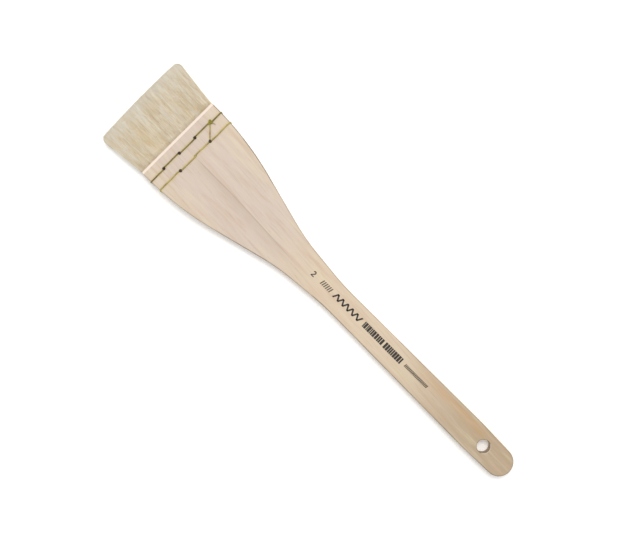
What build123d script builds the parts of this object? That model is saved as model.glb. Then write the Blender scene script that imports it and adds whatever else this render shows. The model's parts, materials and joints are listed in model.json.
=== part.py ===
from build123d import *
from math import cos, radians, sin
import os

# Flat wash brush: a split wooden handle, with layered goat hair stitched between its two cheeks.
# The brush lies flat. +X runs from the hair tips to the tail of the handle, +Y runs across the brush and
# +Z points out of its front face. Shapes are drawn with X = 0 at the head edge of the wood and Z = 0 on
# the middle plane. `place` then moves them, so that the origin is the middle of the brush's lowest plane.
# All lengths are in millimetres.

# Wood, seen from the front
HEAD_WIDTH = 50.0  # nominal width of the brush
WOOD_LENGTH = 238.3  # head edge to tail
SHOULDER = (25.2, 25.0)  # corners of the outline, before rounding
NECK = (81.9, 10.2)
GRIP_START = (112.0, 7.25)
GRIP_END = (212.0, 7.95)
SHOULDER_RADIUS = 170.0
NECK_RADIUS = 120.0
GRIP_START_RADIUS = 150.0
GRIP_END_RADIUS = 60.0
TAIL_RADIUS = 7.4

# Wood, seen from the side
HEAD_THICKNESS = 8.2
GRIP_THICKNESS = 5.6
SWELL = (28.0, 54.0)  # where the thick head turns down, and where it meets the grip
SWELL_RADIUS = 300.0
LIP_BEVEL_LENGTH = 1.5
LIP_BEVEL_DEPTH = 0.9
EDGE_ROUND = 0.9

# Slot between the cheeks
SLOT_HEIGHT = 4.2  # where the cheeks hold the hair
SAW_CUT = 0.8  # height of the slot at its inner end
SLOT_TAPER = (22.0, 50.0)  # where the slot starts and stops narrowing
SLOT_TAPER_RADIUS = 60.0
SLOT_LENGTH = 54.0

# Hang hole
HANG_HOLE_DIAMETER = 7.0
HANG_HOLE_FROM_TAIL = 18.5
HANG_HOLE_EDGE_BREAK = 0.3

# Stitching
THREAD_DIAMETER = 0.6
THREAD_GAP = 0.01  # between the thread and the wood it lies on
THREAD_BEND = 0.45  # radius of the thread's line where it turns into a hole
STITCH_HOLE_DIAMETER = 1.7
TIGHT_HOLE_DIAMETER = 1.3  # of the middle hole in the second row, which its two strands nearly fill
PAIR_OFFSET = 0.32  # two strands in a hole lie this far from its middle
TRIPLE_OFFSET = 0.36  # and three strands this far
ROW_1_X = 6.7  # distance of each row from the head edge
ROW_2_X = 13.4
ROW_1_PITCH = 11.0
ROW_2_PITCH = 10.5
ROW_1_SHIFT = 1.0  # the rows were drilled by eye, a little off the middle
ROW_2_SHIFT = 0.2
ROW_2_HALF_WIDTH = 24.75  # of the wood at the second row, where the shoulder has begun
TUCKED_END = 1.5  # depth of the thread's last end in its hole
KNOT_BALL_RADIUS = 1.15
KNOT_HEIGHT = 0.6
KNOT_EXIT = (0.7, -0.7)  # where the thread leaves the knot, from the knot's middle

# Hair
HAIR_OUT = 28.0  # free length, head edge to tips
CLAMP_LENGTH = 18.0  # length held between the cheeks
CLAMP_HALF_WIDTH = 24.3
HAIR_ROOT_HALF_WIDTH = 24.9
HAIR_TIP_HALF_WIDTH = 27.9
HAIR_CORNER = 2.8
HAIR_TIP_THICKNESS = 2.4
CORE_SHARE = 0.4  # share of the thickness that is the middle mat
MAT_GAP = 0.02
BEND_CLEARANCE = 0.3  # between the free hair and the wood
GLUE_LENGTH = 1.5

HEAD_HALF = HEAD_WIDTH / 2
HEAD_Z = HEAD_THICKNESS / 2
GRIP_Z = GRIP_THICKNESS / 2
SLOT_Z = SLOT_HEIGHT / 2
THREAD_RADIUS = THREAD_DIAMETER / 2
THREAD_Z = HEAD_Z + THREAD_GAP + THREAD_RADIUS
EDGE_BEND = EDGE_ROUND + THREAD_GAP + THREAD_RADIUS  # radius of the thread's line round the wood's edges
BEND_X = -(SLOT_Z + BEND_CLEARANCE)  # the free hair bends about this line
BEYOND = 60.0  # larger than any half width or half thickness

row_1_holes = [(n - 1.5) * ROW_1_PITCH + ROW_1_SHIFT for n in range(4)]
row_2_holes = [(n - 1.0) * ROW_2_PITCH + ROW_2_SHIFT for n in range(3)]
knot_middle = (ROW_1_X, row_1_holes[-1])


def place(shape):
    """Moves a shape so that the origin is the middle of the lowest plane of the whole brush."""
    return Pos((HAIR_OUT - WOOD_LENGTH) / 2, 0, THREAD_Z + THREAD_RADIUS) * shape


def symmetric_face(*half_outline):
    """The face between a line that starts and ends on the X axis and its mirror image."""
    return make_face([*half_outline, *[mirror(line, about=Plane.XZ) for line in half_outline]])


def from_the_side(face):
    """A solid that runs right across the brush, with this outline in X and Z."""
    return extrude(Plane.XZ * face, BEYOND, both=True)


def from_the_front(face):
    """A solid that runs right through the thickness, with this outline in X and Y."""
    return extrude(face, BEYOND, both=True)


# ------------------------------------------------------------------------------------------------ handle


def handle_outline():
    side = FilletPolyline(
        (0, HEAD_HALF),
        SHOULDER,
        NECK,
        GRIP_START,
        GRIP_END,
        (WOOD_LENGTH - TAIL_RADIUS, TAIL_RADIUS),
        radius=[SHOULDER_RADIUS, NECK_RADIUS, GRIP_START_RADIUS, GRIP_END_RADIUS],
    )
    head_edge = Line((0, 0), (0, HEAD_HALF))
    tail = CenterArc((WOOD_LENGTH - TAIL_RADIUS, 0), TAIL_RADIUS, 0, 90)
    return symmetric_face(head_edge, side, tail)


def handle_side_view():
    lip = Polyline((0, 0), (0, HEAD_Z - LIP_BEVEL_DEPTH), (LIP_BEVEL_LENGTH, HEAD_Z))
    back = FilletPolyline(
        (LIP_BEVEL_LENGTH, HEAD_Z),
        (SWELL[0], HEAD_Z),
        (SWELL[1], GRIP_Z),
        (WOOD_LENGTH, GRIP_Z),
        radius=SWELL_RADIUS,
    )
    tail = Line((WOOD_LENGTH, GRIP_Z), (WOOD_LENGTH, 0))
    return symmetric_face(lip, back, tail)


def slot_side_view():
    mouth = Line((BEND_X, 0), (BEND_X, SLOT_Z))
    taper = FilletPolyline(
        (BEND_X, SLOT_Z),
        (SLOT_TAPER[0], SLOT_Z),
        (SLOT_TAPER[1], SAW_CUT / 2),
        (SLOT_LENGTH - SAW_CUT / 2, SAW_CUT / 2),
        radius=SLOT_TAPER_RADIUS,
    )
    inner_end = CenterArc((SLOT_LENGTH - SAW_CUT / 2, 0), SAW_CUT / 2, 0, 90)
    return symmetric_face(mouth, taper, inner_end)


def stitch_holes():
    """Every drilled stitch hole, as one cylinder each."""
    first_y, middle_y, last_y = row_2_holes
    places = [(ROW_1_X, y) for y in row_1_holes] + [(ROW_2_X, first_y), (ROW_2_X, last_y)]
    holes = [Pos(x, y, 0) * Cylinder(STITCH_HOLE_DIAMETER / 2, BEYOND) for x, y in places]
    return [*holes, Pos(ROW_2_X, middle_y, 0) * Cylinder(TIGHT_HOLE_DIAMETER / 2, BEYOND)]


def hang_hole():
    """The hole for hanging the brush up, with its rims broken."""
    radius = HANG_HOLE_DIAMETER / 2
    rim = Pos(0, 0, GRIP_Z - HANG_HOLE_EDGE_BREAK / 2) * Cone(
        radius, radius + HANG_HOLE_EDGE_BREAK, HANG_HOLE_EDGE_BREAK
    )
    hole = Cylinder(radius, BEYOND) + rim + Rot(180, 0, 0) * rim
    return Pos(WOOD_LENGTH - HANG_HOLE_FROM_TAIL, 0, 0) * hole


def make_handle():
    blank = from_the_front(handle_outline()) & from_the_side(handle_side_view())
    edges = blank.edges()
    long_edges = edges - edges.filter_by(Axis.Y) - edges.filter_by(Axis.Z)
    handle = fillet(long_edges, EDGE_ROUND)
    handle -= from_the_side(slot_side_view())
    handle -= hang_hole()
    for hole in stitch_holes():
        handle -= hole
    return handle


# -------------------------------------------------------------------------------------------------- hair


def mat_side_view(number, start_x, end_x, start_z, end_z):
    """Side view of mat 0, 1 or 2 (back, middle, front) of a bundle that tapers from start to end."""
    bounds = [-1, -CORE_SHARE, CORE_SHARE, 1]
    low, high = bounds[number], bounds[number + 1]
    low_gap = MAT_GAP / 2 if number > 0 else 0
    high_gap = MAT_GAP / 2 if number < 2 else 0
    return make_face(
        Polyline(
            (start_x, low * start_z + low_gap),
            (end_x, low * end_z + low_gap),
            (end_x, high * end_z - high_gap),
            (start_x, high * start_z - high_gap),
            close=True,
        )
    )


def make_root_mat(number):
    """Hair held between the cheeks, pierced by the stitching."""
    outline = Pos(CLAMP_LENGTH / 2, 0) * Rectangle(CLAMP_LENGTH, 2 * CLAMP_HALF_WIDTH)
    side_view = mat_side_view(number, 0, CLAMP_LENGTH, SLOT_Z, SLOT_Z)
    mat = from_the_front(outline) & from_the_side(side_view)
    for hole in stitch_holes():
        mat -= hole
    return mat


def make_free_mat(number):
    """Hair in front of the wood. Its root is part of a round about the line where the hair bends."""
    outline = symmetric_face(
        FilletPolyline(
            (-HAIR_OUT, 0),
            (-HAIR_OUT, HAIR_TIP_HALF_WIDTH),
            (0, HAIR_ROOT_HALF_WIDTH),
            radius=HAIR_CORNER,
        ),
        Line((0, HAIR_ROOT_HALF_WIDTH), (0, 0)),
    )
    wedge = mat_side_view(number, BEND_X, -HAIR_OUT, SLOT_Z, HAIR_TIP_THICKNESS / 2)
    block = mat_side_view(number, BEND_X, 0, SLOT_Z, SLOT_Z)
    knuckle = Pos(BEND_X, 0) * Circle(SLOT_Z)
    side_view = wedge + (block & knuckle)
    return from_the_front(outline) & from_the_side(side_view)


def make_root_glue():
    """Hardened glue that binds the inner ends of the hair."""
    block = Box(GLUE_LENGTH, 2 * CLAMP_HALF_WIDTH, SLOT_HEIGHT)
    return Pos(CLAMP_LENGTH + GLUE_LENGTH / 2, 0, 0) * block


# ----------------------------------------------------------------------------------------------- thread


def crossing(x, holes, face):
    """Corners of a strand that changes face at every hole, starting on the given face."""
    corners = []
    for y in holes:
        corners += [(x, y, face), (x, y, -face)]
        face = -face
    return corners


def thread_path(corners, close=False):
    """Straight runs and tangent arcs: tight ones into the holes, wide ones round the head's edges."""
    bends = [THREAD_BEND if abs(y) < ROW_2_HALF_WIDTH else EDGE_BEND for x, y, z in corners]
    return FilletPolyline(*corners, radius=bends if close else bends[1:-1], close=close)


def thread(path):
    """A solid of the thread's round section along a path."""
    return sweep(Plane(origin=path @ 0, z_dir=path % 0) * Circle(THREAD_RADIUS), path=path)


def row_1_path():
    """Over and back across the head, so that every stretch is covered on both faces."""
    edge = HEAD_HALF + THREAD_GAP + THREAD_RADIUS
    out_x = ROW_1_X - PAIR_OFFSET
    back_x = ROW_1_X + PAIR_OFFSET
    corners = [
        (out_x, edge, -THREAD_Z),
        *crossing(out_x, row_1_holes[::-1], -THREAD_Z),
        (out_x, -edge, -THREAD_Z),
        (back_x, -edge, THREAD_Z),
        *crossing(back_x, row_1_holes, THREAD_Z),
        (back_x, edge, THREAD_Z),
    ]
    return thread_path(corners, close=True)


def row_2_path():
    """From the knot across to the second row, round one edge, over and back, and into the first hole."""
    edge = ROW_2_HALF_WIDTH + THREAD_GAP + THREAD_RADIUS
    out_x = ROW_2_X + PAIR_OFFSET
    back_x = ROW_2_X - PAIR_OFFSET
    *far_holes, triple = row_2_holes
    first, second, last = (
        (ROW_2_X + TRIPLE_OFFSET * sin(radians(turn)), triple + TRIPLE_OFFSET * cos(radians(turn)))
        for turn in (-60, 60, 180)
    )
    knot_x, knot_y = knot_middle
    corners = [
        (knot_x + KNOT_EXIT[0], knot_y + KNOT_EXIT[1], THREAD_Z),
        (*first, THREAD_Z),
        (*first, -THREAD_Z),
        (first[0], edge, -THREAD_Z),
        (second[0], edge, THREAD_Z),
        (*second, THREAD_Z),
        (*second, -THREAD_Z),
        *crossing(out_x, far_holes[::-1], -THREAD_Z),
        (out_x, -edge, -THREAD_Z),
        (back_x, -edge, THREAD_Z),
        *crossing(back_x, far_holes, THREAD_Z),
        (*last, THREAD_Z),
        (*last, THREAD_Z - TUCKED_END),
    ]
    return thread_path(corners)


def make_knot():
    """The lump of thread on top of the strands at the last hole of the first row."""
    ball = Pos(0, 0, KNOT_HEIGHT - KNOT_BALL_RADIUS) * Sphere(KNOT_BALL_RADIUS)
    dome = ball & Pos(0, 0, BEYOND / 2) * Box(BEYOND, BEYOND, BEYOND)
    return Pos(*knot_middle, THREAD_Z + THREAD_RADIUS + THREAD_GAP) * dome


# ----------------------------------------------------------------------------------------------- export

parts = {
    "handle": make_handle(),
    "hair_root_back": make_root_mat(0),
    "hair_root_core": make_root_mat(1),
    "hair_root_front": make_root_mat(2),
    "root_glue": make_root_glue(),
    "tuft_back": make_free_mat(0),
    "tuft_core": make_free_mat(1),
    "tuft_front": make_free_mat(2),
    "stitch_row_near_hair": thread(row_1_path()),
    "stitch_row_near_grip": thread(row_2_path()),
    "knot": make_knot(),
}

os.makedirs("parts", exist_ok=True)
for node, solid in parts.items():
    export_step(place(solid), f"parts/{node}.step")
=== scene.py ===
"""Looks of the flat wash brush: wooden handle, hair, stitching and print, on a pale table in soft light."""

import json
import math

import bpy
import numpy as np
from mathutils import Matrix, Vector


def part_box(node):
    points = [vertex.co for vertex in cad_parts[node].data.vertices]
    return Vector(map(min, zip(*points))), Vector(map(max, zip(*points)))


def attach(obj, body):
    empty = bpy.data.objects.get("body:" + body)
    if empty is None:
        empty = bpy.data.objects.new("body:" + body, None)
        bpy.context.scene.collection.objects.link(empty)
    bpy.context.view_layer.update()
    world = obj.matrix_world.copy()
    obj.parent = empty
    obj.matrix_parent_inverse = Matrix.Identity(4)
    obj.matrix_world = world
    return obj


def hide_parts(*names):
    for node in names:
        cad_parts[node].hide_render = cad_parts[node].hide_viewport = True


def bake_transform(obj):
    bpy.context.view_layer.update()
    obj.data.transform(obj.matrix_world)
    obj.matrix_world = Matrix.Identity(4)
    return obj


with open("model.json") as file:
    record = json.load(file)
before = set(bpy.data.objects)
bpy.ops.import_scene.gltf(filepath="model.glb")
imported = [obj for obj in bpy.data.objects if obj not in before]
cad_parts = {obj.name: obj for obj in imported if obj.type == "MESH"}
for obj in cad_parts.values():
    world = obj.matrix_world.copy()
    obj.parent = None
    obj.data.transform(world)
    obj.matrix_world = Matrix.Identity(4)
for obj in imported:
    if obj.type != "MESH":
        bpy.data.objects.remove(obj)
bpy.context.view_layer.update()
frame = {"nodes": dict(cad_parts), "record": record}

MM = 0.001
SEED = 20
rng = np.random.default_rng(SEED)

# ------------------------------------------------------------------------------------ places in the frame


def named(items, name):
    """The mount or the joint of that name."""
    return next(item for item in items if item["name"] == name)


wood_low, wood_high = (np.array(corner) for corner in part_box("handle"))
head_x = wood_low[0]
tips_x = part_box("tuft_core")[0][0]
middle_z = (wood_low[2] + wood_high[2]) / 2
head_top = wood_high[2]
head_half = wood_high[1]
slot_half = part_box("hair_root_front")[1][2] - middle_z
grip_top = 2 * middle_z - named(frame["record"]["mounts"], "grip_back")["pos_m"][2]
hang_hole = named(frame["record"]["mounts"], "hang_hole")["pos_m"]


# ------------------------------------------------------------------------------------------ node helpers

MIX_INPUTS = (0, 6, 7)  # a Mix node's sockets for the amount and for two colours
MIX_OUTPUT = 2  # and the one for the mixed colour


class Nodes:
    """A material's node tree, with short calls that add a node, set its inputs and link it."""

    def __init__(self, name):
        self.material = bpy.data.materials.new(name)
        self.material.use_nodes = True
        self.tree = self.material.node_tree
        self.shader = self.tree.nodes["Principled BSDF"]

    def add(self, kind, inputs=None, **settings):
        node = self.tree.nodes.new("ShaderNode" + kind)
        for key, value in settings.items():
            setattr(node, key, value)
        for key, value in (inputs or {}).items():
            self.put(node, key, value)
        return node

    def put(self, node, key, value):
        socket = node.inputs[key]
        if isinstance(value, bpy.types.NodeSocket):
            self.tree.links.new(value, socket)
        else:
            socket.default_value = value

    def position(self, scale=(1, 1, 1), shift=(0, 0, 0)):
        """Place on the object in metres, stretched by scale."""
        place = self.add("TexCoord").outputs["Object"]
        return self.add("Mapping", {"Vector": place, "Scale": scale, "Location": shift}).outputs[0]

    def noise(self, vector, scale, detail=2.0, roughness=0.5, distortion=0.0):
        node = self.add(
            "TexNoise",
            {
                "Vector": vector,
                "Scale": scale,
                "Detail": detail,
                "Roughness": roughness,
                "Distortion": distortion,
            },
        )
        return node.outputs["Fac"]

    def math(self, operation, first, second=0.0, third=0.0):
        node = self.add("Math", {0: first, 1: second, 2: third}, operation=operation)
        return node.outputs[0]

    def ramp(self, value, low, high, start=0.0, end=1.0):
        """value from low..high eased into start..end, and held at both ends."""
        inputs = {"Value": value, "From Min": low, "From Max": high, "To Min": start, "To Max": end}
        return self.add("MapRange", inputs, interpolation_type="SMOOTHSTEP").outputs[0]

    def times(self, first, *others):
        for other in others:
            first = self.math("MULTIPLY", first, other)
        return first

    def mix(self, amount, first, second):
        inputs = dict(zip(MIX_INPUTS, (amount, first, second)))
        return self.add("Mix", inputs, data_type="RGBA").outputs[MIX_OUTPUT]

    def bump(self, height, strength, distance):
        inputs = {"Height": height, "Strength": strength, "Distance": distance}
        return self.add("Bump", inputs).outputs[0]

    def split(self, vector):
        return self.add("SeparateXYZ", {0: vector}).outputs


def rgb(red, green, blue):
    """A linear colour from display values of 0 to 255, by the usual display curve."""
    shares = (red / 255, green / 255, blue / 255)
    linear = [c / 12.92 if c <= 0.04045 else ((c + 0.055) / 1.055) ** 2.4 for c in shares]
    return (*linear, 1.0)


# ----------------------------------------------------------------------------------------------- meshes


def new_object(name, vertices, faces, material, smooth=True):
    mesh = bpy.data.meshes.new(name)
    mesh.from_pydata(vertices.tolist(), [], faces)
    mesh.polygons.foreach_set("use_smooth", [smooth] * len(mesh.polygons))
    mesh.materials.append(material)
    piece = bpy.data.objects.new(name, mesh)
    bpy.context.collection.objects.link(piece)
    return piece


def tube_faces(count, rings, sides):
    """Faces of count equal closed tubes, each of that many rings, whose vertices follow one another."""
    ring, side = np.meshgrid(np.arange(rings - 1), np.arange(sides), indexing="ij")
    here = ring * sides + side
    beside = ring * sides + (side + 1) % sides
    quads = np.stack([here, beside, beside + sides, here + sides], axis=-1).reshape(-1, 4)
    starts = np.arange(count) * rings * sides
    faces = (quads[None] + starts[:, None, None]).reshape(-1, 4).tolist()
    last = (rings - 1) * sides
    for start in starts.tolist():
        faces.append([start + n for n in reversed(range(sides))])
        faces.append([start + last + n for n in range(sides)])
    return faces


def add_tone(piece, tones):
    """A value per vertex that the material reads, such as how light one hair is."""
    attribute = piece.data.attributes.new("tone", "FLOAT", "POINT")
    attribute.data.foreach_set("value", tones.astype(np.float32))


# ------------------------------------------------------------------------------------------------- wood

# Places along the brush where its looks change.
SHOULDER_X = head_x + 60 * MM
NECK_X = head_x + 105 * MM
TAN_START_X = head_x + 135 * MM
TAN_X = head_x + 225 * MM
HANG_X = hang_hole[0]

# The rows of stitch holes.
ROW_1 = {"x": head_x + 6.7 * MM, "pitch": 11.0 * MM, "shift": 1.0 * MM, "holes": 4}
ROW_2 = {"x": head_x + 13.4 * MM, "pitch": 10.5 * MM, "shift": 0.2 * MM, "holes": 3}
STITCH_HOLE_RADIUS = 0.85 * MM
HOLE_BLUR = 0.1  # of the hole's radius
HANG_HOLE_REACH = (5.2 * MM, 4.6 * MM)  # from the hole's middle. All of its wall is nearer than these.

# Grain. It runs askew by GRAIN_SLOPE, and along and across say how finely it is drawn each way.
GRAIN_SLOPE = 0.06
GRAIN_ROUGHNESS = 0.55
WIDE_GRAIN = {"along": 22, "across": 330, "detail": 4, "distortion": 0.25}
FINE_GRAIN = {"along": 60, "across": 1300, "detail": 3, "distortion": 0.3}
PORE_GRAIN = {"along": 220, "across": 3400, "detail": 2, "distortion": 0}
# breaks up the painted shade on the arrises along the grain
EDGE_SHADE_GRAIN = {"along": 70, "across": 200}
CREAM_GRAIN = {"along": 30, "across": 60}
PATCHES = {"scale": (42, 420, 100), "shift": (3, 1, 0)}
PORE_HEIGHT = 0.1 * MM

MOTTLING_X = (NECK_X - 10 * MM, TAN_X)  # it grows stronger between these

# The creamy edges of the head, from its middle line, and how far the grain moves them.
CREAM_EDGE = (17 * MM, 26 * MM)
CREAM_MOVE = 9 * MM

# The orange band along the +Y side of the tail: where it comes in and fades out, both ways.
BAND_IN_X = (head_x + 160 * MM, head_x + 190 * MM)
BAND_OUT_X = (HANG_X + 3 * MM, HANG_X - 8 * MM)
BAND_IN_Y = (1.8 * MM, 3.6 * MM)
BAND_OUT_Y = (7.2 * MM, 5.2 * MM)

# The growth line: where it starts, how it drifts and wanders sideways, and how wide it and its shade are.
LINE_IN_X = (ROW_2["x"] - 2 * MM, ROW_2["x"] + 8 * MM)
LINE_DRIFT_X = (SHOULDER_X - 25 * MM, NECK_X - 5 * MM)
LINE_DRIFT = 2.2 * MM
LINE_WANDER = 0.5 * MM
LINE_WANDER_SCALE = (25, 0, 0)
LINE_SHADE_IN = (-8 * MM, -0.3 * MM)
LINE_SHADE_OUT = (0.3 * MM, -0.2 * MM)
LINE_CORE = (0.5 * MM, 0.1 * MM)

DYE_REACH = (1.3 * MM, 0.4 * MM)  # from a row of stitches

# Painted shade on the arrises: it changes sides between the head and the grip.
EDGE_SHADE_X = (SHOULDER_X - 15 * MM, SHOULDER_X)
HEAD_EDGE_SHADE_Y = (-10 * MM, 5 * MM)
GRIP_EDGE_SHADE_Y = (-5 * MM, 5 * MM)

PINK_WOOD = rgb(216, 199, 185)
CREAM_WOOD = rgb(226, 209, 182)
PRINTED_WOOD = rgb(222, 203, 178)
TAN_WOOD = rgb(188, 168, 140)
BROWN_GRAIN = rgb(188, 154, 116)
PALE_GRAIN = rgb(226, 208, 184)
ORANGE_BAND = rgb(202, 162, 110)
BROWN_PATCH = rgb(208, 178, 152)
CREAM_PATCH = rgb(228, 213, 176)
FINE_BROWN = rgb(178, 152, 126)
PORE_BROWN = rgb(150, 122, 94)
SHADE_BROWN = rgb(192, 172, 154)
LINE_BROWN = rgb(160, 138, 120)
DYE_YELLOW = rgb(212, 196, 140)
# painted shade on the side faces
PAINTED_SIDE_SHADE = rgb(176, 152, 122)
# painted shade on the rounded arrises
PAINTED_ARRIS_SHADE = rgb(134, 116, 92)
# painted highlight on the faces that turn towards the hair, such as the bevel
PAINTED_BEVEL_LIGHT = rgb(252, 235, 221)
# painted shade in and around the stitch holes
PAINTED_HOLE_SHADE = rgb(40, 25, 10)
# painted shade on the wall of the hang hole
PAINTED_HANG_HOLE_SHADE = rgb(166, 143, 113)


def hole_centres(row):
    """How far each hole of a row lies from the brush's middle line."""
    return [(n - (row["holes"] - 1) / 2) * row["pitch"] + row["shift"] for n in range(row["holes"])]


# All the stitch holes but the second row's middle one, which its thread fills; these get painted shade. The
# knot lies on one of them.
DARK_HOLES = [(ROW_1["x"], y) for y in hole_centres(ROW_1)]
DARK_HOLES += [(ROW_2["x"], y) for y in hole_centres(ROW_2)[::2]]
KNOT = (ROW_1["x"], hole_centres(ROW_1)[-1])


def hole_spots(nodes, holes):
    """1 around each of the stitch holes, at any depth, and 0 elsewhere."""
    flat = nodes.position(scale=(1, 1, 0))
    outside, inside = STITCH_HOLE_RADIUS * (1 + HOLE_BLUR), STITCH_HOLE_RADIUS * (1 - HOLE_BLUR)
    spots = 0.0
    for x, y in holes:
        away = nodes.add("VectorMath", {0: flat, 1: (x, y, 0)}, operation="DISTANCE").outputs["Value"]
        spots = nodes.math("MAXIMUM", spots, nodes.ramp(away, outside, inside))
    return spots


def long_grain(nodes, along, across, detail=3, distortion=0.4):
    """Noise drawn out along the brush. The grain runs a little askew, so that it drifts across the neck."""
    x, y, z = nodes.split(nodes.position())[:3]
    askew = nodes.math("MULTIPLY_ADD", x, GRAIN_SLOPE, y)
    slanted = nodes.add("CombineXYZ", {0: x, 1: askew, 2: z}).outputs[0]
    stretched = nodes.add("Mapping", {"Vector": slanted, "Scale": (along, across, across / 2)}).outputs[0]
    return nodes.noise(stretched, 1.0, detail, GRAIN_ROUGHNESS, distortion)


def zone_colour(nodes, x, y):
    """Long zones: a pinkish head with creamy edges, cream where it is printed, and a tan tail."""
    from_middle = nodes.math("ABSOLUTE", y)
    moved = nodes.math("MULTIPLY_ADD", long_grain(nodes, **CREAM_GRAIN), CREAM_MOVE, from_middle)
    head = nodes.mix(nodes.ramp(moved, *CREAM_EDGE, 0, 0.5), PINK_WOOD, CREAM_WOOD)
    colour = nodes.mix(nodes.ramp(x, SHOULDER_X, NECK_X), head, PRINTED_WOOD)
    return nodes.mix(nodes.ramp(x, TAN_START_X, TAN_X), colour, TAN_WOOD)


def add_mottling(nodes, x, colour):
    """Wide darker and lighter grain, weak on the head and strong towards the tail."""
    grain = long_grain(nodes, **WIDE_GRAIN)
    tailward = nodes.ramp(x, *MOTTLING_X, 0.3, 1.0)
    darker = nodes.times(nodes.ramp(grain, 0.48, 0.72), tailward, 0.5)
    lighter = nodes.times(nodes.ramp(grain, 0.5, 0.28), tailward, 0.5)
    colour = nodes.mix(darker, colour, BROWN_GRAIN)
    return nodes.mix(lighter, colour, PALE_GRAIN)


def add_band(nodes, x, y, fine_grain, colour):
    """The orange band along one side of the tail, streaked by the grain."""
    band = nodes.times(
        nodes.ramp(y, *BAND_IN_Y),
        nodes.ramp(y, *BAND_OUT_Y),
        nodes.ramp(x, *BAND_IN_X),
        nodes.ramp(x, *BAND_OUT_X),
        nodes.ramp(fine_grain, 0.3, 0.6, 0.15, 0.6),
    )
    return nodes.mix(band, colour, ORANGE_BAND)


def add_patches(nodes, colour):
    """Short darker and lighter patches all over the wood."""
    patches = nodes.noise(nodes.position(**PATCHES), 1.0, 3, 0.6, 0.15)
    colour = nodes.mix(nodes.ramp(patches, 0.5, 0.7, 0, 0.4), colour, BROWN_PATCH)
    return nodes.mix(nodes.ramp(patches, 0.48, 0.3, 0, 0.35), colour, CREAM_PATCH)


def add_growth_line(nodes, x, y, colour):
    """One dark growth line down the middle of the head, with darker wood on its -Y side."""
    wander = nodes.noise(nodes.position(scale=LINE_WANDER_SCALE), 1.0, 2)
    drift = nodes.ramp(x, *LINE_DRIFT_X, 0, LINE_DRIFT)
    line = nodes.math("ADD", nodes.math("MULTIPLY_ADD", wander, LINE_WANDER, y), drift)
    on_head = nodes.times(nodes.ramp(x, *LINE_IN_X), nodes.ramp(x, NECK_X, SHOULDER_X))
    shade = nodes.times(nodes.ramp(line, *LINE_SHADE_IN), nodes.ramp(line, *LINE_SHADE_OUT), on_head, 0.35)
    core = nodes.times(nodes.ramp(nodes.math("ABSOLUTE", line), *LINE_CORE), on_head, 0.4)
    colour = nodes.mix(shade, colour, SHADE_BROWN)
    return nodes.mix(core, colour, LINE_BROWN)


def add_dye(nodes, x, colour):
    """Dye from the thread, which has bled a little into the wood beside both rows."""
    for row in (ROW_1, ROW_2):
        away = nodes.math("ABSOLUTE", nodes.math("SUBTRACT", x, row["x"]))
        colour = nodes.mix(nodes.ramp(away, *DYE_REACH, 0, 0.4), colour, DYE_YELLOW)
    return colour


def add_painted_edge_shade(nodes, x, y, tilt, colour):
    """Painted shade on the sides and darker painted shade on the arrises. tilt is 1 on the flat faces and 0
    on the sides.
    """
    # painted shade on the side faces
    colour = nodes.mix(nodes.ramp(tilt, 0.93, 0.4, 0, 0.45), colour, PAINTED_SIDE_SHADE)
    # painted shade on the rounded arrises, heavier on one side, broken up along the grain
    arris = nodes.times(nodes.ramp(tilt, 0.96, 0.75), nodes.ramp(tilt, 0.1, 0.35))
    head_shade = nodes.ramp(y, *HEAD_EDGE_SHADE_Y, 0.4, 1.0)
    grip_shade = nodes.ramp(y, *GRIP_EDGE_SHADE_Y, 0.75, 0.45)
    broken = nodes.ramp(long_grain(nodes, **EDGE_SHADE_GRAIN), 0.3, 0.6, 0.35, 1.0)
    edge_shade = nodes.times(nodes.ramp(x, *EDGE_SHADE_X, head_shade, grip_shade), broken)
    return nodes.mix(nodes.times(arris, edge_shade), colour, PAINTED_ARRIS_SHADE)


def add_hang_hole_shade(nodes, tilt, colour):
    """Painted shade on the wall of the hang hole."""
    away = nodes.add("VectorMath", {0: nodes.position(), 1: hang_hole}, operation="DISTANCE").outputs["Value"]
    wall = nodes.times(nodes.ramp(away, *HANG_HOLE_REACH), nodes.ramp(tilt, 0.9, 0.5, 0, 0.85))
    return nodes.mix(wall, colour, PAINTED_HANG_HOLE_SHADE)


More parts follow.
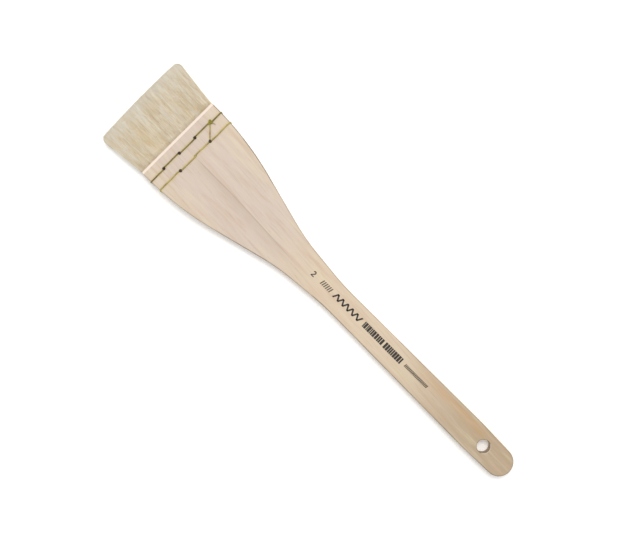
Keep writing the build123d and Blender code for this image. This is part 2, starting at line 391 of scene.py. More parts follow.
def make_wood():
    """Pale wood, with painted shade in the stitch holes and painted light on faces turned to the hair, as the
    bevel.
    """
    nodes = Nodes("wood")
    x, y = nodes.split(nodes.position())[:2]
    normal = nodes.split(nodes.add("NewGeometry").outputs["Normal"])
    tilt = nodes.math("ABSOLUTE", normal[2])
    fine_grain = long_grain(nodes, **FINE_GRAIN)
    pore_grain = long_grain(nodes, **PORE_GRAIN)

    colour = zone_colour(nodes, x, y)
    colour = add_mottling(nodes, x, colour)
    colour = add_band(nodes, x, y, fine_grain, colour)
    colour = add_patches(nodes, colour)
    colour = nodes.mix(nodes.ramp(fine_grain, 0.5, 0.78, 0, 0.3), colour, FINE_BROWN)
    colour = nodes.mix(nodes.ramp(pore_grain, 0.64, 0.8, 0, 0.3), colour, PORE_BROWN)
    colour = add_growth_line(nodes, x, y, colour)
    colour = add_dye(nodes, x, colour)
    # painted shade on the sides and arrises
    colour = add_painted_edge_shade(nodes, x, y, tilt, colour)
    # painted highlight: faces turned towards the hair, such as the bevel, are made lighter as if lit
    colour = nodes.mix(nodes.ramp(normal[0], -0.25, -0.4, 0, 0.95), colour, PAINTED_BEVEL_LIGHT)
    # painted shade in and around the stitch holes
    colour = nodes.mix(hole_spots(nodes, DARK_HOLES), colour, PAINTED_HOLE_SHADE)
    # painted shade on the wall of the hang hole
    colour = add_hang_hole_shade(nodes, tilt, colour)

    nodes.put(nodes.shader, "Base Color", colour)
    nodes.put(nodes.shader, "Roughness", nodes.ramp(fine_grain, 0.2, 0.8, 0.5, 0.72))
    nodes.shader.inputs["Specular IOR Level"].default_value = 0.35
    height = nodes.math("MULTIPLY_ADD", pore_grain, -0.6, nodes.math("MULTIPLY", fine_grain, 0.7))
    nodes.put(nodes.shader, "Normal", nodes.bump(height, 0.35, PORE_HEIGHT))
    return nodes.material


# ------------------------------------------------------------------------------------------------- hair

# The outline of the hair.
HAIR_OUT = head_x - tips_x
ROOT_HALF = 24.8 * MM
TIP_HALF = 27.7 * MM
SPREAD_POWER = 1.15
CORNER = 3.0 * MM
TIP_OUT = 0.3 * MM  # how far the tips reach out where their line bows most
TIP_BOW = 0.7 * MM
TIP_BOW_MIDDLE = 0.2  # of the half width, towards +Y
TIP_THICKNESS_SHARE = 0.56  # of the thickness at the wood
HAIR_FILL = 0.95  # of the slot's thickness
HAIR_SWELL = 0.1

# The strands.
STRANDS = 3550  # in each piece
STATIONS = 10
LAST_STATION = 0.985  # of the hair's length, so that only its very end turns round its cut
STATION_POWER = 0.9  # spreads the stations out near the wood
HAIR_SIDES = 3
START_IN = 1.2 * MM  # strands start this far inside the slot
STRAND_RADIUS = (0.042 * MM, 0.068 * MM)  # thinnest and thickest
STRAND_TAPER = 0.3
STRAND_TONE = 0.55
STRAND_TONE_SPREAD = 0.2
HAIR_LEAN = 0.5 * MM
SHORTFALL = 0.2 * MM  # the usual one, from the line of the tips
MOST_SHORTFALL = 2 * MM
KINK = 0.12 * MM  # sideways
KINK_DEPTH = 0.05 * MM
KINK_HALF_TURNS = (2, 6)
NEIGHBOUR = 7  # the kinks in depth are those of this neighbour, so that no hair waves in one plane
STRAY_SHARE = 0.012
STRAY_OUT = 0.7 * MM

# The locks that the strands are gathered in.
LOCK_MIXING = 0.25  # how far strands get into the next lock
LOCK_GATHER = 0.22
LOCK_LIFT = 0.03
LOCK_LEAN = 0.3 * MM
LOCK_REACH = 0.05 * MM
LOCK_SWING = 0.26 * MM
SWING_EASE = 1.3
LOCK_TURNS = (0.6, 1.5)
LOCK_TONE_SPREAD = 0.1

# The hairs that show between the cheeks.
SIDE_HAIRS = 900
SIDE_STATIONS = 7
SIDE_Y = (23.9 * MM, 24.4 * MM)
SIDE_START = (0.2 * MM, 1.0 * MM)
SIDE_LENGTH = (16.9 * MM, 17.2 * MM)
SIDE_RADIUS = (0.05 * MM, 0.075 * MM)
SIDE_FILL = 0.96  # of the slot's thickness
SIDE_HALF_TURNS = (1, 4)
SIDE_WAVE = 0.05 * MM
SIDE_TONE = (0.4, 0.15)  # the middle tone and its spread

# The dense middle.
MASS_STATIONS = 30
MASS_AROUND = 720
MASS_DEPTH = 17.9 * MM  # from the edge of the wood in to the glue
MASS_INSET = 0.3 * MM
MASS_SHORT = 1.2 * MM
MASS_FILL = 0.86
MASS_ROUNDNESS = 0.22  # 1 would be an oval and 0 a box
MASS_THINS_FROM = 0.8  # of the free length
MASS_THINS_BY = 0.25
RIDGE_DEPTH = 0.035
RIDGE_UNEVEN = 0.01
RIDGE_AT_SIDES = 0.002
MASS_TONE = (0.35, 0.12)

STREAKS = {"scale": (170, 1100, 300)}
WIDE_STREAKS = {"scale": (60, 330, 100), "shift": (5, 0, 0)}
CLOUDS = {"scale": (60, 95, 60), "shift": (2, 0, 0)}
STREAK_HEIGHT = 0.05 * MM
TIP_WHITENING = (tips_x + 10 * MM, tips_x + 1 * MM)

PALE_HAIR = rgb(255, 252, 238)
DEEP_HAIR = rgb(235, 211, 171)
TAN_STREAK = rgb(220, 193, 143)
TAN_LOCK = rgb(222, 196, 146)
WHITE_STREAK = rgb(255, 250, 240)
WARM_CLOUD = rgb(242, 221, 176)
WHITE_TIP = rgb(255, 251, 239)


def make_hair_material():
    """Goat hair: warm streaks and clouds on near-white, palest at the tips."""
    nodes = Nodes("goat_hair")
    tone = nodes.add("Attribute", attribute_name="tone").outputs["Fac"]
    streak = nodes.noise(nodes.position(**STREAKS), 1.0, 3, 0.6, 0.5)
    wide_streak = nodes.noise(nodes.position(**WIDE_STREAKS), 1.0, 2, 0.5, 0.3)
    cloud = nodes.noise(nodes.position(**CLOUDS), 1.0, 2, 0.5)
    x = nodes.split(nodes.position())[0]
    colour = nodes.mix(tone, DEEP_HAIR, PALE_HAIR)
    colour = nodes.mix(nodes.ramp(streak, 0.48, 0.7, 0, 0.5), colour, TAN_STREAK)
    colour = nodes.mix(nodes.ramp(streak, 0.46, 0.3, 0, 0.5), colour, WHITE_STREAK)
    colour = nodes.mix(nodes.ramp(wide_streak, 0.5, 0.66, 0, 0.33), colour, TAN_LOCK)
    colour = nodes.mix(nodes.ramp(wide_streak, 0.46, 0.34, 0, 0.3), colour, WHITE_STREAK)
    colour = nodes.mix(nodes.ramp(cloud, 0.45, 0.65, 0, 0.3), colour, WARM_CLOUD)
    colour = nodes.mix(nodes.ramp(x, *TIP_WHITENING, 0, 0.5), colour, WHITE_TIP)
    nodes.put(nodes.shader, "Base Color", colour)
    nodes.put(nodes.shader, "Roughness", nodes.ramp(streak, 0.3, 0.7, 0.42, 0.6))
    nodes.shader.inputs["Specular IOR Level"].default_value = 0.4
    nodes.shader.inputs["Sheen Weight"].default_value = 0.15
    nodes.put(nodes.shader, "Normal", nodes.bump(streak, 0.3, STREAK_HEIGHT))
    return nodes.material


def hair_width(share):
    """Half width of the hair at a share of its free length, 0 at the wood and 1 at the tips."""
    return ROOT_HALF + (TIP_HALF - ROOT_HALF) * np.clip(share, 0, 1) ** SPREAD_POWER


def hair_thickness(share):
    """Half thickness at a share of the free length. It swells a little where it leaves the wood."""
    share = np.clip(share, 0, 1)
    taper = 1 + (TIP_THICKNESS_SHARE - 1) * share
    return slot_half * (HAIR_FILL * taper + HAIR_SWELL * np.sin(math.pi * share) * (1 - share))


def tip_line(y):
    """Where the tips end: a line that bows out a little, off the middle, with rounded corners."""
    over = np.clip(np.abs(y) - (TIP_HALF - CORNER), 0, CORNER)
    corner = CORNER - np.sqrt(CORNER**2 - over**2)
    return tips_x - TIP_OUT + TIP_BOW * (y / TIP_HALF - TIP_BOW_MIDDLE) ** 2 + corner


def add_hairs(name, places, radius, tones, material):
    """One piece of many thin closed tubes. places is x, y and z, with a row of stations for every hair."""
    count, stations = places[0].shape
    angles = np.arange(HAIR_SIDES) * 2 * math.pi / HAIR_SIDES
    points = np.stack(places, axis=-1)[:, :, None, :].repeat(HAIR_SIDES, axis=2)
    points[..., 1] += radius[..., None] * np.cos(angles)
    points[..., 2] += radius[..., None] * np.sin(angles)
    piece = new_object(name, points.reshape(-1, 3), tube_faces(count, stations, HAIR_SIDES), material)
    add_tone(piece, np.repeat(tones, stations * HAIR_SIDES))
    return piece


def make_strands(name, material, depth_low, depth_high, locks):
    """One layer of the tuft: thin tapered hairs, gathered in locks that wave together."""
    across = (np.arange(STRANDS) + rng.random(STRANDS)) / STRANDS * 2 - 1
    depth = rng.uniform(depth_low, depth_high, STRANDS)
    lock = ((across + 1) / 2 * locks + rng.normal(0, LOCK_MIXING, STRANDS)).astype(int).clip(0, locks - 1)
    lock_middle = (lock + 0.5) / locks * 2 - 1
    lock_tone = rng.normal(0, LOCK_TONE_SPREAD, locks)[lock]
    lock_wave = rng.uniform(0, 2 * math.pi, locks)[lock]
    lock_turns = rng.uniform(*LOCK_TURNS, locks)[lock]
    lock_lift = rng.normal(0, LOCK_LIFT, locks)[lock]
    lean = rng.normal(0, LOCK_LEAN, locks)[lock] + rng.normal(0, HAIR_LEAN, STRANDS)
    lean = lean * (1 - across**8)  # none at the sides, where a leaning hair would leave the outline
    lock_reach = rng.normal(0, LOCK_REACH, locks)[lock]

    # Across the brush. A lock's swing grows from the wood and eases off towards the tips.
    share = np.append(np.linspace(0, LAST_STATION, STATIONS - 1) ** STATION_POWER, 1)[None]
    gather = LOCK_GATHER * share**2
    y = (across[:, None] * (1 - gather) + lock_middle[:, None] * gather) * hair_width(share)
    swing = np.sin(2 * math.pi * lock_turns[:, None] * share + lock_wave[:, None])
    swing = swing * share * (SWING_EASE - share)
    y += LOCK_SWING * swing + lean[:, None] * share
    kinks = rng.uniform(*KINK_HALF_TURNS, STRANDS)[:, None] * math.pi
    kink = np.sin(kinks * share + rng.uniform(0, 2 * math.pi, STRANDS)[:, None])
    y += KINK * kink * share
    stray = rng.random(STRANDS) < STRAY_SHARE
    y += (stray * rng.normal(0, STRAY_OUT, STRANDS))[:, None] * share**2
    y = np.clip(y, -hair_width(share), hair_width(share))

    # Through its thickness, and along it from inside the slot to the tips.
    z = middle_z + (depth + lock_lift * np.sign(depth))[:, None] * hair_thickness(share)
    z += KINK_DEPTH * np.roll(kink, NEIGHBOUR, axis=0) * share
    shortfall = rng.exponential(SHORTFALL, STRANDS).clip(0, MOST_SHORTFALL)
    reach = tip_line(y[:, -1]) + lock_reach + shortfall
    start = head_x + START_IN
    x = start + (reach[:, None] - start) * share

    radius = rng.uniform(*STRAND_RADIUS, STRANDS)[:, None] * (1 - STRAND_TAPER * share**3)
    tones = STRAND_TONE + lock_tone + rng.normal(0, STRAND_TONE_SPREAD, STRANDS)
    return add_hairs(name, (x, y, z), radius, tones, material)


def draw_for_sides(low, high):
    """A random value for each of the hairs between the cheeks."""
    return rng.uniform(low, high, SIDE_HAIRS)[:, None]


def make_root_sides(material):
    """Hairs that show between the cheeks at both sides of the head."""
    side = np.repeat([-1, 1], SIDE_HAIRS // 2)[:, None]
    share = np.linspace(0, 1, SIDE_STATIONS)[None]
    waves = draw_for_sides(*SIDE_HALF_TURNS) * math.pi
    wave = SIDE_WAVE * np.sin(waves * share + draw_for_sides(0, 2 * math.pi))
    z = middle_z + draw_for_sides(-SIDE_FILL, SIDE_FILL) * slot_half + wave
    y = side * (draw_for_sides(*SIDE_Y) + np.roll(wave, NEIGHBOUR, axis=0))
    start = draw_for_sides(*SIDE_START)
    x = head_x + start + share * draw_for_sides(*SIDE_LENGTH)
    radius = draw_for_sides(*SIDE_RADIUS)
    tones = rng.normal(*SIDE_TONE, SIDE_HAIRS)
    return add_hairs("hair_root_sides", (x, y, z), radius, tones, material)


def make_hair_mass(material):
    """The dense middle of the hair, from the glue to just short of the tips, with combed ridges."""
    turn = np.linspace(0, 2 * math.pi, MASS_AROUND, endpoint=False)[None]
    y_part = np.sign(np.cos(turn)) * np.abs(np.cos(turn)) ** MASS_ROUNDNESS
    z_part = np.sign(np.sin(turn)) * np.abs(np.sin(turn)) ** MASS_ROUNDNESS
    start = head_x + MASS_DEPTH
    reach = tip_line(y_part * (TIP_HALF - MASS_INSET)) + MASS_SHORT
    x = start + (reach - start) * np.linspace(0, 1, MASS_STATIONS)[:, None]
    share = (head_x - x) / HAIR_OUT
    ridge = 1 - RIDGE_DEPTH * rng.random((1, MASS_AROUND))
    ridge = ridge - RIDGE_UNEVEN * rng.random((MASS_STATIONS, MASS_AROUND))
    y = y_part * (hair_width(share) - MASS_INSET) * (1 - RIDGE_AT_SIDES * ridge)
    thinned = (np.clip(share, MASS_THINS_FROM, 1) - MASS_THINS_FROM) / (1 - MASS_THINS_FROM)
    z = middle_z + z_part * hair_thickness(share) * MASS_FILL * ridge * (1 - MASS_THINS_BY * thinned)
    points = np.stack([x, y, z], axis=-1).reshape(-1, 3)
    piece = new_object("hair_mass", points, tube_faces(1, MASS_STATIONS, MASS_AROUND), material)
    add_tone(piece, np.tile(rng.normal(*MASS_TONE, MASS_AROUND), MASS_STATIONS))
    return piece


# ----------------------------------------------------------------------------------------------- thread

THREAD_RADIUS = 0.3 * MM
THREAD_FLUFF = 0.08 * MM  # the loose fibres outside the plain tube
ROW_RADIUS = THREAD_RADIUS + THREAD_FLUFF
THREAD_GAP = 0.01 * MM  # between the thread and the wood
THREAD_Z = head_top - middle_z + THREAD_GAP + THREAD_RADIUS
THREAD_SIDES = 6  # of each ply
PLIES = 3
PLY_SHARE = 0.5  # of the thread's radius
PLY_PITCH = 1.7 * MM
PLY_UNEVEN = 0.04
STEP = 0.11 * MM
ARC_POINTS = 9
ASKEW = (0.3, 0.5, 0.8)  # a direction that no thread starts in
BITE = 0.3 * MM  # how far the tight thread has pressed into the wood's edges
WANDER_POINTS = 60
ROW_1_WANDER = 0.04 * MM
ROW_2_WANDER = 0.07 * MM
ROW_2_HALF = 24.75 * MM
PAIR_OFFSET = 0.32 * MM
TRIPLE_OFFSET = 0.36 * MM
TRIPLE_TURNS = (-60, 60, 180)  # degrees from +Y towards +X, of the three strands in one hole
HOLE_BEND = 0.45 * MM
EDGE_BEND = 1.21 * MM
END_DEPTH = 1.5 * MM  # how far the last end goes down its hole

KNOT_EXIT = (0.7 * MM, -0.7 * MM)  # where the second row's thread leaves the knot
KNOT_POINTS = 90
KNOT_SIZE = 0.36 * MM
KNOT_STRETCH = 1.15
KNOT_RISE = 0.42 * MM
KNOT_WEAVE = 0.24 * MM
TAIL_POINTS = 28
TAIL_RADIUS = 0.17 * MM
TAIL_START = np.array([0.4, 0.3, 0.5]) * MM  # from the middle of the knot
TAIL_RUN = np.array([2.3, 1.2, -0.35]) * MM
TAIL_CURVE = 0.5 * MM
FIBRE_SCALE = 9000
DYE_SCALE = 260
FIBRE_HEIGHT = 0.04 * MM
FIBRE_SHADE = rgb(60, 50, 20)
HOLE_SHADE = rgb(44, 34, 16)


def rounded_path(corners, bends):
    """Points every STEP along the runs between the corners, with an arc of its own radius at each corner."""
    corners = [np.array(corner, float) for corner in corners]
    stretches = [corners[0][None]]
    for before, corner, after, radius in zip(corners, corners[1:], corners[2:], bends):
        arrive = (corner - before) / np.linalg.norm(corner - before)
        leave = (after - corner) / np.linalg.norm(after - corner)
        half_turn = math.acos(np.clip(arrive @ leave, -1, 1)) / 2
        reach = radius * math.tan(half_turn)
        begin = corner - arrive * reach
        inward = leave - arrive * (arrive @ leave)
        inward /= np.linalg.norm(inward)
        turns = np.linspace(0, 2 * half_turn, ARC_POINTS)[:, None]
        arc = begin + radius * (arrive * np.sin(turns) + inward * (1 - np.cos(turns)))
        stretches.append(arc)
    stretches.append(corners[-1][None])
    rough = np.concatenate(stretches)
    lengths = np.linalg.norm(np.diff(rough, axis=0), axis=1)
    along = np.concatenate([[0], np.cumsum(lengths)])
    spots = np.linspace(0, along[-1], int(along[-1] / STEP))
    return np.stack([np.interp(spots, along, rough[:, axis]) for axis in range(3)], axis=1)


def frames_along(path):
    """A pair of normals at every point, carried along without twisting."""
    tangents = np.gradient(path, axis=0)
    tangents /= np.linalg.norm(tangents, axis=1)[:, None]
    normal = np.cross(tangents[0], ASKEW)
    normals = []
    for tangent in tangents:
        normal = normal - tangent * (normal @ tangent)
        normal = normal / np.linalg.norm(normal)
        normals.append(normal)
    normals = np.array(normals)
    return normals, np.cross(tangents, normals)


def make_thread(name, path, material, radius):
    """A twisted thread of three plies along a path."""
    normals, binormals = frames_along(path)
    step = np.linalg.norm(np.diff(path, axis=0), axis=1).mean()
    twist = np.arange(len(path)) * step / PLY_PITCH * 2 * math.pi
    ply_radius = radius * PLY_SHARE
    angles = np.arange(THREAD_SIDES) * 2 * math.pi / THREAD_SIDES
    cosines, sines = np.cos(angles)[None, :, None], np.sin(angles)[None, :, None]
    round_ply = normals[:, None] * cosines + binormals[:, None] * sines
    rings = []
    for ply in range(PLIES):
        turn = (twist + ply * 2 * math.pi / PLIES)[:, None]
        middle = path + (radius - ply_radius) * (normals * np.cos(turn) + binormals * np.sin(turn))
        uneven = ply_radius * (1 + rng.normal(0, PLY_UNEVEN, len(path)))
        rings.append((middle[:, None] + uneven[:, None, None] * round_ply).reshape(-1, 3))
    return new_object(name, np.concatenate(rings), tube_faces(PLIES, len(path), THREAD_SIDES), material)


def make_thread_material(name, light, dark):
    """Dyed fibres, dark where the thread goes down into a hole."""
    nodes = Nodes(name)
    place = nodes.position()
    fibres = nodes.noise(place, FIBRE_SCALE, 2, 0.6)
    dye = nodes.noise(place, DYE_SCALE, 2, 0.5)
    colour = nodes.mix(nodes.ramp(dye, 0.3, 0.7), light, dark)
    colour = nodes.mix(nodes.ramp(fibres, 0.5, 0.8, 0, 0.4), colour, FIBRE_SHADE)
    spots = hole_spots(nodes, [hole for hole in DARK_HOLES if hole != KNOT])
    colour = nodes.mix(nodes.times(spots, 0.9), colour, HOLE_SHADE)
    nodes.put(nodes.shader, "Base Color", colour)
    nodes.put(nodes.shader, "Roughness", nodes.ramp(fibres, 0.2, 0.8, 0.6, 0.85))
    nodes.shader.inputs["Sheen Weight"].default_value = 0.2
    nodes.put(nodes.shader, "Normal", nodes.bump(fibres, 0.5, FIBRE_HEIGHT))
    return nodes.material


def crossing(x, holes, face):
    """Corners of a strand that changes face at every hole."""
    corners = []
    for y in holes:
        corners += [(x, y, middle_z + face), (x, y, middle_z - face)]
        face = -face
    return corners


def bends_of(corners):
    """Wide turns round the head's edges and tight ones into the holes, for every corner but the ends."""
    return [HOLE_BEND if abs(y) < ROW_2_HALF else EDGE_BEND for _, y, _ in corners[1:-1]]


def loosen(path, amount):
    """Lets a thread wander a little along the brush, as a hand-sewn one does."""
    moves = rng.normal(0, amount, WANDER_POINTS)
    path = path.copy()
    path[:, 0] += np.interp(np.arange(len(path)), np.linspace(0, len(path), WANDER_POINTS), moves)
    return path


def row_1_path():
    """Over through the holes, round the -Y edge of the head, back through them and round its +Y edge."""
    edge = head_half + THREAD_RADIUS - BITE
    out_x, back_x = ROW_1["x"] - PAIR_OFFSET, ROW_1["x"] + PAIR_OFFSET
    holes = hole_centres(ROW_1)
    start = (out_x, 0.5 * (edge + holes[-1]), middle_z - THREAD_Z)
    corners = [
        start,
        *crossing(out_x, holes[::-1], -THREAD_Z),
        (out_x, -edge, middle_z - THREAD_Z),
        (back_x, -edge, middle_z + THREAD_Z),
        *crossing(back_x, holes, THREAD_Z),
        (back_x, edge, middle_z + THREAD_Z),
        (out_x, edge, middle_z - THREAD_Z),
        start,
    ]
    return rounded_path(corners, bends_of(corners))


def row_2_path():
    """From the knot down the +Y hole, round the +Y edge, down it again, across, and back to end in it."""
    edge = ROW_2_HALF + THREAD_RADIUS - BITE
    out_x, back_x = ROW_2["x"] + PAIR_OFFSET, ROW_2["x"] - PAIR_OFFSET
    *far_holes, triple = hole_centres(ROW_2)
    turns = [math.radians(turn) for turn in TRIPLE_TURNS]
    first, second, last = (
        (ROW_2["x"] + TRIPLE_OFFSET * math.sin(turn), triple + TRIPLE_OFFSET * math.cos(turn))
        for turn in turns
    )
    front, back = middle_z + THREAD_Z, middle_z - THREAD_Z
    corners = [
        (KNOT[0] + KNOT_EXIT[0], KNOT[1] + KNOT_EXIT[1], front),
        (*first, front),
        (*first, back),
        (first[0], edge, back),
        (second[0], edge, front),
        (*second, front),
        (*second, back),
        *crossing(out_x, far_holes[::-1], -THREAD_Z),
        (out_x, -edge, back),
        (back_x, -edge, front),
        *crossing(back_x, far_holes, THREAD_Z),
        (*last, front),
        (*last, front - END_DEPTH),
    ]
    return rounded_path(corners, bends_of(corners))


def knot_path():
    """A trefoil pulled flat over the hole."""
    turn = np.linspace(0, 2 * math.pi, KNOT_POINTS)
    x = KNOT[0] + KNOT_SIZE * (np.sin(turn) + 2 * np.sin(2 * turn))
    y = KNOT[1] + KNOT_SIZE * KNOT_STRETCH * (np.cos(turn) - 2 * np.cos(2 * turn))
    z = middle_z + THREAD_Z + KNOT_RISE - KNOT_WEAVE * np.sin(3 * turn)
    return np.stack([x, y, z], axis=1)


def knot_tail_path():
    """The cut end that sticks out of the knot, away from the hair, in a curve that sinks to the wood."""
    share = np.linspace(0, 1, TAIL_POINTS)
    path = np.array([*KNOT, middle_z + THREAD_Z]) + TAIL_START + TAIL_RUN * share[:, None]
    path[:, 1] -= TAIL_CURVE * share**2
    return path


# ------------------------------------------------------------------------------------------------ print

INK_HEIGHT = 0.02 * MM
INK_ROOT = 0.01 * MM  # how far the ink goes into the wood, so that no gap shows
INK_GRAIN = (1400, 2600, 1)
PRINT_SHIFT = -0.8 * MM  # of all the print, along the brush
PRINT_Y = 0.8 * MM
WORN_INK = rgb(170, 150, 124)

# The printed marks, in millimetres from the head edge and from the print's line.
SMALL_MARKS = {"start": 104.0, "end": 110.4, "step": 1.2, "width": 0.65, "height": 2.8, "slant": 0.25}
FINE_MARKS = {"start": 163.4, "end": 178.8, "step": 0.8, "width": 0.6, "height": 1.7, "slant": 0.2}
ZIGZAG = {"start": 112.6, "end": 131.6, "step": 1.7, "width": 1.0, "height": 3.2}
BARS = [{"start": 134.0, "end": 147.0, "height": 3.3}, {"start": 148.8, "end": 161.0, "height": 3.5}]
BAR_WIDTHS = [0.6, 0.9, 1.3]
BAR_GAPS = [0.2, 0.26, 0.34]

# The size mark: a bowl that bends round its middle, a slanted leg down from its end, and a foot.
BOWL_MIDDLE = (98.3, 0.55)
BOWL_OUTSIDE = 0.95
BOWL_INSIDE = 0.35
BOWL_TURNS = (165, -45)
BOWL_POINTS = 12
LEG_END = [(97.9, -1.2), (97.3, -1.2)]
FOOT = [(97.3, -1.6), (99.4, -1.6), (99.4, -1.1), (97.3, -1.1)]


def make_ink(name, colour):
    """Ink that is worn away in specks."""
    nodes = Nodes(name)
    worn = nodes.noise(nodes.position(scale=INK_GRAIN), 1.0, 3, 0.7)
    nodes.put(nodes.shader, "Base Color", nodes.mix(nodes.ramp(worn, 0.6, 0.8, 0, 0.6), colour, WORN_INK))
    nodes.put(nodes.shader, "Roughness", nodes.ramp(worn, 0.3, 0.7, 0.45, 0.7))
    nodes.put(nodes.shader, "Normal", nodes.bump(worn, 0.3, INK_HEIGHT))
    return nodes.material


def slanted_bar(x, width, height, slant=0.0):
    """Corners of a printed stroke, in millimetres from the head edge and from the print's line."""
    low, high = -height / 2, height / 2
    bottom = [(x + slant * low, low), (x + width + slant * low, low)]
    top = [(x + width + slant * high, high), (x + slant * high, high)]
    return bottom + top


def make_print(name, strokes, material):
    """Thin raised ink in the shape of the strokes."""
    points, faces = [], []
    for stroke in strokes:
        first = len(points)
        count = len(stroke)
        for z in (grip_top - INK_ROOT, grip_top + INK_HEIGHT):
            points += [(head_x + PRINT_SHIFT + x * MM, PRINT_Y + y * MM, z) for x, y in stroke]
        bottom = list(range(first, first + count))
        top = list(range(first + count, first + 2 * count))
        faces += [bottom[::-1], top]
        faces += [[bottom[n - 1], bottom[n], top[n], top[n - 1]] for n in range(count)]
    return new_object(name, np.array(points), faces, material, smooth=False)


def mark_strokes(start, end, step, width, height, slant):
    """A run of even slanted marks, which spell nothing."""
    return [slanted_bar(x, width, height, slant) for x in np.arange(start, end, step)]


def zigzag_strokes(start, end, step, width, height):
    """A plain ornament: a bold zigzag band."""
    strokes = []
    rising = True
    for x in np.arange(start, end - step, step):
        slant = (step if rising else -step) / height
        strokes.append(slanted_bar(x + step / 2, width, height, slant))
        rising = not rising
    return strokes


def bar_strokes(start, end, height):
    """Upright bars of mixed widths, which spell nothing."""
    strokes = []
    x = start
    while x < end:
        width = rng.choice(BAR_WIDTHS)
        strokes.append(slanted_bar(x, width, height))
        x += width + rng.choice(BAR_GAPS)
    return strokes


def bowl_arc(radius):
    """Points round the middle of the size mark's bowl."""
    turns = np.linspace(math.radians(BOWL_TURNS[0]), math.radians(BOWL_TURNS[1]), BOWL_POINTS)
    x, y = BOWL_MIDDLE
    return [(x + radius * math.cos(turn), y + radius * math.sin(turn)) for turn in turns]


def numeral_two():
    """The size mark, as a bent stroke on a foot."""
    outer = bowl_arc(BOWL_OUTSIDE)
    inner = bowl_arc(BOWL_INSIDE)
    leg = [inner[-1], outer[-1], *LEG_END]
    return [[*inner, *outer[::-1]], leg[::-1], FOOT]


# ------------------------------------------------------------------------------------------------- glue

GLUE_DARK = rgb(120, 82, 38)
GLUE_LIGHT = rgb(168, 124, 62)
DRIP_SCALE = 900
DRIP_HEIGHT = 0.3 * MM


def make_glue():
    """Hardened brown glue with shiny drips."""
    nodes = Nodes("root_glue")
    drips = nodes.noise(nodes.position(), DRIP_SCALE, 3, 0.6)
    nodes.put(nodes.shader, "Base Color", nodes.mix(drips, GLUE_DARK, GLUE_LIGHT))
    nodes.put(nodes.shader, "Roughness", nodes.ramp(drips, 0.3, 0.7, 0.2, 0.45))
    nodes.put(nodes.shader, "Normal", nodes.bump(drips, 0.6, DRIP_HEIGHT))
    return nodes.material


# ---------------------------------------------------------------------------------------------- pieces


def cover(node, material):
    """Gives a CAD solid its material."""
    materials = frame["nodes"][node].data.materials
    materials.clear()
    materials.append(material)


cover("handle", make_wood())

# Each layer of strands: its name, the share of the thickness that it fills, and how many locks it has.
TUFT_LAYERS = {
    "tuft_front": [("hair_front_outer", 0.72, 1.0, 84), ("hair_front_inner", 0.45, 0.85, 90)],
    "tuft_core": [("hair_middle", -0.5, 0.5, 90)],
    "tuft_back": [("hair_back_inner", -0.85, -0.45, 90), ("hair_back_outer", -1.0, -0.72, 84)],
}
hair = make_hair_material()
for node, layers in TUFT_LAYERS.items():
    for name, low, high, locks in layers:
        strands = make_strands(name, hair, low, high, locks)
        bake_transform(strands)
        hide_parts(node)
mass = make_hair_mass(hair)
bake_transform(mass)
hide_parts("hair_root_core")
root_sides = make_root_sides(hair)
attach(root_sides, "brush")
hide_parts("hair_root_front", "hair_root_back")

olive = make_thread_material("thread_olive", rgb(160, 145, 66), rgb(124, 107, 49))
yellow = make_thread_material("thread_yellow", rgb(210, 194, 120), rgb(168, 150, 84))
green = make_thread_material("thread_green", rgb(182, 172, 62), rgb(140, 128, 44))
row_1 = loosen(row_1_path(), ROW_1_WANDER)
row_2 = loosen(row_2_path(), ROW_2_WANDER)
threads = [
    ("thread_row_near_hair", "stitch_row_near_hair", row_1, ROW_RADIUS, olive, "thread_olive"),
    ("thread_row_near_grip", "stitch_row_near_grip", row_2, ROW_RADIUS, yellow, "thread_yellow"),
    ("knot_loops", "knot", knot_path(), THREAD_RADIUS, green, "thread_olive"),
    ("knot_tail", "knot", knot_tail_path(), TAIL_RADIUS, yellow, "thread_yellow"),
]
for name, node, path, radius, material, slot in threads:
    piece = make_thread(name, path, material, radius)
    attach(piece, "brush")
    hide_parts(node)

cover("root_glue", make_glue())

bold_ink = make_ink("ink_bold", rgb(42, 36, 30))
faint_ink = make_ink("ink_faint", rgb(98, 86, 66))
prints = [
    ("print_size", numeral_two(), bold_ink),
    ("print_small_marks", mark_strokes(**SMALL_MARKS), faint_ink),
    ("print_zigzag", zigzag_strokes(**ZIGZAG), bold_ink),
    ("print_bars", [bar for group in BARS for bar in bar_strokes(**group)], bold_ink),
    ("print_fine_marks", mark_strokes(**FINE_MARKS), faint_ink),
]
for name, strokes, material in prints:
    piece = make_print(name, strokes, material)
    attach(piece, "brush")

# ------------------------------------------------------------------------------- table, light and camera

TABLE_HALF = 1.5
TABLE_GLOW = 0.18
TABLE_TONES = (rgb(250, 250, 250), rgb(253, 253, 253))
WHITE = (1, 1, 1, 1)
SKY_STRENGTH = 0.6

AXIS_TURN = math.radians(45.16)  # the tail points this far down from the right of the picture
TARGET = Vector((head_x + 101.0 * MM, -0.2 * MM, grip_top))
CAMERA_HEIGHT = 0.40
PICTURE_WIDTH = 0.3207
SENSOR_WIDTH = 36.0  # in millimetres, as Blender has it

KEY_ELEVATION = math.radians(72)
KEY_DISTANCE = 1.2
KEY_SIZE = 0.42
KEY_POWER = 6.6
KEY_COLOUR = (1.0, 0.985, 0.965)


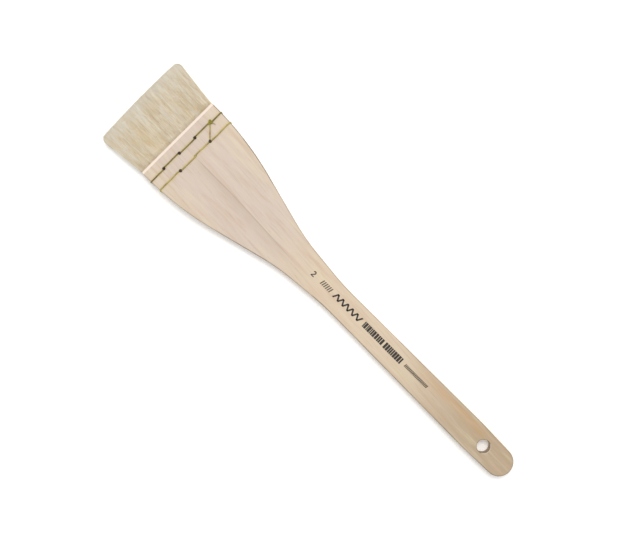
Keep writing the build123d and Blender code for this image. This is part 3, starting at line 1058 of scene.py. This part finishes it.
def make_table_material():
    """Matt white that glows a little, which keeps the shadows pale."""
    nodes = Nodes("table")
    grains = nodes.noise(nodes.position(), 40, 3, 0.5)
    nodes.put(nodes.shader, "Base Color", nodes.mix(grains, *TABLE_TONES))
    nodes.shader.inputs["Emission Color"].default_value = WHITE
    nodes.shader.inputs["Emission Strength"].default_value = TABLE_GLOW
    nodes.shader.inputs["Roughness"].default_value = 0.9
    nodes.shader.inputs["Specular IOR Level"].default_value = 0.0
    return nodes.material


def add_key_light():
    """A large soft lamp above the top of the picture."""
    data = bpy.data.lights.new("key", "AREA")
    data.shape = "DISK"
    data.size = KEY_SIZE
    data.energy = KEY_POWER
    data.color = KEY_COLOUR
    key = bpy.data.objects.new("key", data)
    picture_up = Vector((-math.sin(AXIS_TURN), math.cos(AXIS_TURN), 0))
    way = picture_up * math.cos(KEY_ELEVATION) + Vector((0, 0, math.sin(KEY_ELEVATION)))
    key.location = TARGET + way * KEY_DISTANCE
    key.rotation_euler = way.to_track_quat("Z", "Y").to_euler()
    bpy.context.collection.objects.link(key)


def set_world():
    """Plain white light from all round."""
    world = bpy.data.worlds.new("studio")
    world.use_nodes = True
    background = world.node_tree.nodes["Background"]
    background.inputs["Color"].default_value = WHITE
    background.inputs["Strength"].default_value = SKY_STRENGTH
    bpy.context.scene.world = world
    bpy.context.scene.view_settings.view_transform = "Standard"


def add_camera():
    """Straight above the brush."""
    data = bpy.data.cameras.new("camera")
    data.sensor_width = SENSOR_WIDTH
    data.lens = SENSOR_WIDTH * CAMERA_HEIGHT / PICTURE_WIDTH
    camera = bpy.data.objects.new("camera", data)
    camera.location = TARGET + Vector((0, 0, CAMERA_HEIGHT))
    camera.rotation_euler = (0, 0, AXIS_TURN)
    bpy.context.collection.objects.link(camera)
    bpy.context.scene.camera = camera


table_corners = np.array([(-1, -1, 0), (1, -1, 0), (1, 1, 0), (-1, 1, 0)]) * TABLE_HALF
table = new_object("table", table_corners, [[0, 1, 2, 3]], make_table_material(), smooth=False)
add_key_light()
set_world()
add_camera()
